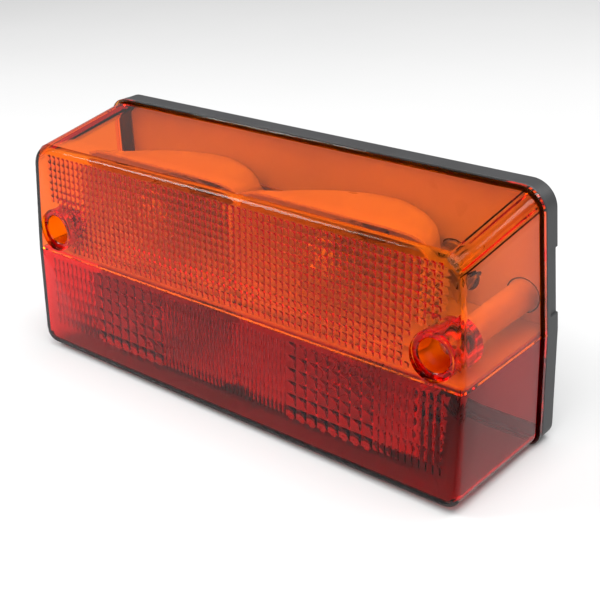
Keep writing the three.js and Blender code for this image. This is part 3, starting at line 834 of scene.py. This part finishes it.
def lens_screw(side, label):
    """Pan-head screw with a cross slot and a rolled thread."""
    centre = (side * SCREW_X, SCREW_Z)
    seat = pocket_floor() - SEAL_THICKNESS - 0.1
    top, straight = seat - HEAD_HEIGHT, 1.4
    dome = [(HEAD_RADIUS * math.cos(t), seat - straight - (HEAD_HEIGHT - straight) * math.sin(t))
            for t in np.linspace(0, math.pi / 2, 8)]
    profile = [(0, seat), (HEAD_RADIUS - 0.2, seat), (HEAD_RADIUS, seat - 0.2)] + dome[:-1] + [(0, top)]
    body, names = f"screw_{label}", (f"lens_screw_{label}",)
    head = turned_piece(f"lens_screw_head_{label}", profile, centre, STEEL, body, names)
    arm, half, floor = 2.9, 0.65, top + 1.8
    x, z = centre
    carve(head, [box_build((x - arm, top - 1, z - half), (x + arm, floor, z + half)),
                 box_build((x - half, top - 1, z - arm), (x + half, floor, z + arm))])
    shank = Build()
    add_thread(shank, centre, SCREW_RADIUS, 0.45, SCREW_PITCH, seat - 0.2, seat + SCREW_LENGTH)
    mesh_object(f"lens_screw_thread_{label}", shank, STEEL, body, names)


def ring_profile(inner, outer, y0, y1, bevel):
    """Profile of a washer or sleeve with eased edges; y0 is the rear."""
    return [(inner, y0 - bevel), (inner + bevel, y0), (outer - bevel, y0), (outer, y0 - bevel),
            (outer, y1 + bevel), (outer - bevel, y1), (inner + bevel, y1), (inner, y1 + bevel)]


def turned_piece(name, profile, centre, material, body, stands_for, segments=48):
    """A piece turned from a profile of (radius, y)."""
    build = Build()
    add_lathe(build, profile, centre, segments)
    return mesh_object(name, build, material, body, stands_for)


def panel_fixing(side, label):
    """Mounting bolt, washer and nut."""
    centre = (side * BOLT_X, BOLT_Z)
    rear, names = -FLOOR - 0.1, (f"mounting_bolt_{label}",)
    build = Build()
    build.solid(add_hexagon(build, ACROSS_FLATS, centre, rear, rear - BOLT_HEAD))
    mesh_object(f"mounting_bolt_head_{label}", build, STEEL, "root", names)
    shank = Build()
    add_thread(shank, centre, BOLT_RADIUS - 0.02, 0.4, BOLT_PITCH, rear - 0.3, BOLT_REACH)
    mesh_object(f"mounting_bolt_thread_{label}", shank, STEEL, "root", names)
    washer = ring_profile(BOLT_HOLE, WASHER_RADIUS, PANEL + WASHER_THICKNESS, PANEL, 0.2)
    turned_piece(f"mounting_washer_disc_{label}", washer, centre, STEEL, "root",
                 (f"mounting_washer_{label}",))
    nut = Build()
    start, bore_radius = PANEL + WASHER_THICKNESS + 0.1, BOLT_RADIUS + 0.05
    rows = add_hexagon(nut, ACROSS_FLATS, centre, start, start + NUT_HEIGHT, -0.6)
    bore = [nut.add(p) for p in turned([(bore_radius, start + NUT_HEIGHT), (bore_radius, start)], centre)]
    nut.rings(rows + bore)
    nut.strip(bore[-1], rows[0])
    mesh_object(f"mounting_nut_hexagon_{label}", nut, STEEL, "root", (f"mounting_nut_{label}",))


def grommet():
    """Rubber sleeve that lines the cable inlet."""
    hole, flange, front = INLET_HOLE - 0.15, INLET_HOLE + 2, -FLOOR - 0.15
    lip, nose = front - 2.4, 2.6
    profile = [(GROMMET_BORE, lip + 0.5), (GROMMET_BORE + 0.5, lip), (flange - 0.6, lip), (flange, lip + 0.6),
               (flange, front - 0.3), (flange - 0.3, front), (hole, front), (hole, -0.2),
               (GROMMET_BORE + 1.8, nose - 0.5), (GROMMET_BORE + 1.3, nose), (GROMMET_BORE, nose)]
    turned_piece("cable_grommet_sleeve", profile, (0, INLET_Z), RUBBER, "root", ("cable_grommet",))


# ---------------------------------------------------------------- bulbs and holders

def sleeve_with_slots(name, centre, body, stands_for):
    """Bayonet sleeve from filled cells of angle and depth, with an L-shaped slot on each side."""
    slack = PIN_RADIUS + 0.35
    pin_y = -(CAP_START + PIN_FROM_REAR)
    mouth, rear = -(SOCKET_REAR + SOCKET_LENGTH), -SOCKET_REAR
    half = slack / SOCKET_INNER
    twist = math.radians(TWIST)
    marks = []
    for start in (0, math.pi):
        marks += [start - half, start + half, start - twist - half]
    round_steps = np.linspace(0, 2 * math.pi, 48, endpoint=False)
    angles = np.unique(np.round(np.concatenate([np.mod(marks, 2 * math.pi), round_steps]), 5))
    levels = [rear, pin_y + slack, pin_y - slack, mouth]
    count, rows = len(angles), len(levels) - 1

    def filled(i, k):
        """Whether a cell is metal: not past an end, and not in a slot."""
        if not 0 <= k < rows:
            return False
        middle = (angles[i % count] + (angles[(i + 1) % count] + 2 * math.pi * (i % count == count - 1))) / 2
        turned_by = (middle + math.pi / 2) % math.pi - math.pi / 2
        axial = abs(turned_by) < half
        locked = -twist - half < turned_by < half
        return not ((k == 1 and locked) or (k == 2 and axial))

    build = Build()
    points = {}
    for radius_number, radius in enumerate((SOCKET_INNER, SOCKET_OUTER)):
        for i, angle in enumerate(angles):
            for k, y in enumerate(levels):
                point = (centre[0] + radius * math.cos(angle), y, centre[1] + radius * math.sin(angle))
                points[radius_number, i, k] = build.add([point])[0]
    for i in range(count):
        j = (i + 1) % count
        for k in range(rows):
            if not filled(i, k):
                continue
            corners = [(i, k), (j, k), (j, k + 1), (i, k + 1)]
            for r in (0, 1):
                build.faces.append(tuple(points[(r, *corner)] for corner in corners))
            for neighbour, a, b in (((i - 1, k), (i, k), (i, k + 1)), ((i + 1, k), (j, k), (j, k + 1)),
                                    ((i, k - 1), (i, k), (j, k)), ((i, k + 1), (i, k + 1), (j, k + 1))):
                if not filled(*neighbour):
                    build.faces.append((points[(0, *a)], points[(0, *b)], points[(1, *b)], points[(1, *a)]))
    mesh_object(name, build, STEEL, body, stands_for)


def bulb_holder(bulb, side, z):
    """Bayonet sleeve on its foot, and the sprung brass contact behind the bulb."""
    centre = (side * BULB_X, z)
    sleeve_with_slots(f"{bulb}_holder_sleeve", centre, "root", (f"{bulb}_socket",))
    foot = ring_profile(SOCKET_OUTER + 0.02, FOOT_RADIUS, -SOCKET_REAR, -SOCKET_REAR - FOOT_THICKNESS, 0.2)
    turned_piece(f"{bulb}_holder_foot", foot, centre, STEEL, "root", (f"{bulb}_socket",))
    rear = -FLOOR - 0.3
    thickness, half, names = CONTACT_THICKNESS, CONTACT_HALF_WIDTH, (f"{bulb}_contact",)
    near, far = side * BULB_X - side * half, side * TAB_X
    bevelled_box(f"{bulb}_contact_strip", (min(near, far), rear - thickness, z - half),
                 (max(near, far), rear, z + half), 0.15, BRASS, "root", names)
    bevelled_box(f"{bulb}_contact_tab", (far - thickness / 2, rear - TAB_HEIGHT, z - half),
                 (far + thickness / 2, rear - thickness / 2, z + half), 0.15, BRASS, "root", names)
    touch = -CAP_START + 0.3
    spring = [(0, rear), (3.4, rear), (3.4, rear - thickness), (2.3, rear - 1.0), (2.2, touch + 0.6),
              (1.6, touch + 0.05), (0, touch)]
    turned_piece(f"{bulb}_contact_spring", spring, centre, BRASS, "root", names, 32)


def bulb(label, side, z, size):
    """Bayonet bulb: pressed cap with its pins, blown glass, and a coiled filament on two wires."""
    centre, body = (side * BULB_X, z), f"{label}_bulb"
    radius, length = size
    rear, front = -CAP_START, -CAP_START - CAP_LENGTH
    cap = [(0, rear - 0.1), (2.2, rear), (2.8, rear - 0.6), (5.6, rear - 0.8), (6.6, rear - 1.2),
           (CAP_RADIUS - 0.3, rear - 2.4), (CAP_RADIUS, rear - 3.2), (CAP_RADIUS, front + 2.4),
           (CAP_RADIUS - 0.25, front + 2.0), (CAP_RADIUS - 0.25, front + 1.2), (CAP_RADIUS, front + 0.8),
           (CAP_RADIUS - 0.1, front), (CAP_RADIUS - 0.5, front), (CAP_RADIUS - 0.5, rear - 4), (0, rear - 4)]
    names = (f"{label}_bulb_cap",)
    turned_piece(f"{label}_cap_shell", cap, centre, BRASS, body, names)
    add_pins(label, centre, body, names)
    neck, tip_y = CAP_RADIUS - 0.9, CAP_START + length
    middle = tip_y - radius
    first = -math.acos(min(1, (neck + 1.5) / radius))
    dome = np.linspace(first, math.pi / 2, 18)[:-1]
    outer = [(neck, -front - 5), (neck, -front + 1)]
    outer += [(radius * math.cos(t), middle + radius * math.sin(t)) for t in dome]
    shrink = (radius - GLASS_WALL) / radius
    inner = [(r - GLASS_WALL, y) for r, y in outer[:2]]
    inner += [(r * shrink, middle + (y - middle) * shrink) for r, y in outer[2:]]
    wall = outer + [(0, tip_y), (0, middle + radius * shrink)] + inner[::-1]
    turned_piece(f"{label}_glass_envelope", [(r, -y) for r, y in wall], centre, GLASS, body,
                 (f"{label}_bulb_glass",))
    add_filament(label, centre, length, body)


def add_pins(label, centre, body, names):
    """The two bayonet pins, turned to the locked end of the slots."""
    pin_y = -(CAP_START + PIN_FROM_REAR)
    build = Build()
    for end in (0, math.pi):
        angle = end - math.radians(TWIST)
        out = np.array([math.cos(angle), 0, math.sin(angle)])
        along = np.array([0, 1, 0])
        across = np.cross(out, along)
        rows = []
        for reach, radius in ((CAP_RADIUS - 0.2, PIN_RADIUS), (CAP_RADIUS + PIN_REACH - 0.25, PIN_RADIUS),
                              (CAP_RADIUS + PIN_REACH, PIN_RADIUS - 0.3)):
            base = np.array([centre[0], pin_y, centre[1]]) + out * reach
            t = np.linspace(0, 2 * math.pi, 24, endpoint=False)
            rows.append(build.add(base + radius * (np.outer(np.cos(t), along) + np.outer(np.sin(t), across))))
        build.solid(rows)
    mesh_object(f"{label}_cap_pins", build, BRASS, body, names)


def sweep(build, path, radius, segments=8):
    """A round wire along a path of points, closed at both ends."""
    path = np.asarray(path, float)
    tangents = np.gradient(path, axis=0)
    tangents /= np.linalg.norm(tangents, axis=1)[:, None]
    side = np.cross(tangents[0], (0.3, 0.2, 0.9))
    rows = []
    t = np.linspace(0, 2 * math.pi, segments, endpoint=False)
    for point, tangent in zip(path, tangents):
        side = side - tangent * side.dot(tangent)
        side /= np.linalg.norm(side)
        other = np.cross(tangent, side)
        rows.append(build.add(point + radius * (np.outer(np.cos(t), side) + np.outer(np.sin(t), other))))
    build.solid(rows)


def add_filament(label, centre, length, body):
    """Two support wires and a coil between their tips."""
    foot, top = -(CAP_START + 6), -(CAP_START + length * 0.66)
    names = (f"{label}_filament",)
    wires = Build()
    bend = [(3, foot), (3, top + 6), (3.2, top + 3), (3.5, top + 0.4), (3.2, top)]
    places = np.linspace(0, len(bend) - 1, 25)
    for side in (-1, 1):
        points = [(centre[0] + side * x, y, centre[1]) for x, y in bend]
        sweep(wires, np.column_stack([np.interp(places, range(len(bend)), row) for row in zip(*points)]), 0.3)
    mesh_object(f"{label}_filament_supports", wires, STEEL, body, names)
    coil = Build()
    turns, reach, coil_radius, wire_radius = 12, 3.1, 0.35, 0.09
    t = np.linspace(0, 1, turns * 12 + 1)
    angle = 2 * math.pi * turns * t
    path = np.column_stack([centre[0] - reach + 2 * reach * t, top + coil_radius * np.cos(angle),
                            centre[1] + coil_radius * np.sin(angle)])
    sweep(coil, path, wire_radius, 6)
    mesh_object(f"{label}_filament_coil", coil, TUNGSTEN, body, names)


base_tray()
base_coating()
grommet()
for side, label in ((-1, "left"), (1, "right")):
    screw_pillar(side, label)
    lens_screw(side, label)
    panel_fixing(side, label)
    seal_rear = pocket_floor() - 0.05
    seal = ring_profile(SCREW_RADIUS + 0.1, SEAL_RADIUS, seal_rear, seal_rear - SEAL_THICKNESS, 0.3)
    turned_piece(f"screw_seal_ring_{label}", seal, (side * SCREW_X, SCREW_Z), RUBBER, f"seal_{label}",
                 (f"screw_seal_{label}",))
for label, side, z, size, _ in BULBS:
    bulb_holder(label, side, z)
    bulb(label, side, z, size)
bevelled_box("chamber_divider_plate", (-DIVIDER_HALF_WIDTH, -DIVIDER_FRONT, SPLIT_Z - DIVIDER_THICKNESS / 2),
             (DIVIDER_HALF_WIDTH, -FLOOR - 0.3, SPLIT_Z + DIVIDER_THICKNESS / 2), 0.3,
             WHITE, "root", ("chamber_divider",))
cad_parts["lens_gasket"].data.materials.clear()
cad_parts["lens_gasket"].data.materials.append(RUBBER)


# ---------------------------------------------------------------- camera, light and floor

CAMERA_AT = Vector((0.2969, -0.3466, 0.2001))
CAMERA_AZIMUTH, CAMERA_ELEVATION, CAMERA_ROLL = 41.71, 26.28, -3.38
FOCAL_LENGTH = 67.84
FLOOR_Z = -HALF_HEIGHT * MM


def add_camera():
    """Camera that sees the lamp as the photo does."""
    data = bpy.data.cameras.new("camera")
    data.lens = FOCAL_LENGTH
    data.sensor_width = 36
    data.clip_start = 0.01
    camera = bpy.data.objects.new("camera", data)
    azimuth, elevation = math.radians(CAMERA_AZIMUTH), math.radians(CAMERA_ELEVATION)
    back = Vector((math.sin(azimuth) * math.cos(elevation), -math.cos(azimuth) * math.cos(elevation),
                   math.sin(elevation)))
    turn = back.to_track_quat("Z", "Y").to_matrix().to_4x4()
    roll = Matrix.Rotation(math.radians(CAMERA_ROLL), 4, "Z")
    camera.matrix_world = Matrix.Translation(CAMERA_AT) @ turn @ roll
    bpy.context.scene.collection.objects.link(camera)
    bpy.context.scene.camera = camera


def add_floor():
    size, steps = 3.0, 24
    bm = bmesh.new()
    bmesh.ops.create_grid(bm, x_segments=steps, y_segments=steps, size=size)
    mesh = bpy.data.meshes.new("floor")
    bm.to_mesh(mesh)
    bm.free()
    material, tree, shader = new_material("floor paper")
    tree.links.new(ramp(tree, noise(tree, 3, 3), [(0.3, (0.56, 0.56, 0.56)), (0.7, (0.58, 0.58, 0.58))]),
                   shader.inputs["Base Color"])
    shader.inputs["Roughness"].default_value = 0.9
    mesh.materials.append(material)
    floor = bpy.data.objects.new("floor", mesh)
    floor.location = (0, 0, FLOOR_Z)
    bpy.context.scene.collection.objects.link(floor)


def add_area(name, location, target, size, power):
    data = bpy.data.lights.new(name, "AREA")
    data.shape = "RECTANGLE"
    data.size, data.size_y = size
    data.energy = power
    lamp = bpy.data.objects.new(name, data)
    lamp.location = location
    direction = Vector(target) - Vector(location)
    lamp.rotation_euler = direction.to_track_quat("-Z", "Y").to_euler()
    bpy.context.scene.collection.objects.link(lamp)


def add_world():
    world = bpy.data.worlds.new("studio")
    world.use_nodes = True
    background = world.node_tree.nodes["Background"]
    background.inputs["Color"].default_value = (1, 1, 1, 1)
    background.inputs["Strength"].default_value = 0.42
    bpy.context.scene.world = world


add_camera()
add_floor()
add_world()
add_area("front softbox", (0.35, -1.0, 0.95), (0, 0, 0), (1.2, 1.0), 13)
add_area("left softbox", (-0.84, -0.60, 0.88), (0, 0, 0), (0.5, 0.5), 10)
add_area("top softbox", (0.3, 0.0, 1.3), (0, 0, 0), (1.2, 0.9), 20)
add_area("corner softbox", (0.50, 0.77, 0.62), (0, 0, 0), (0.35, 0.35), 2)

bpy.context.scene.view_settings.view_transform = "Standard"
bpy.context.scene.cycles.max_bounces = 20
bpy.context.scene.cycles.transmission_bounces = 20
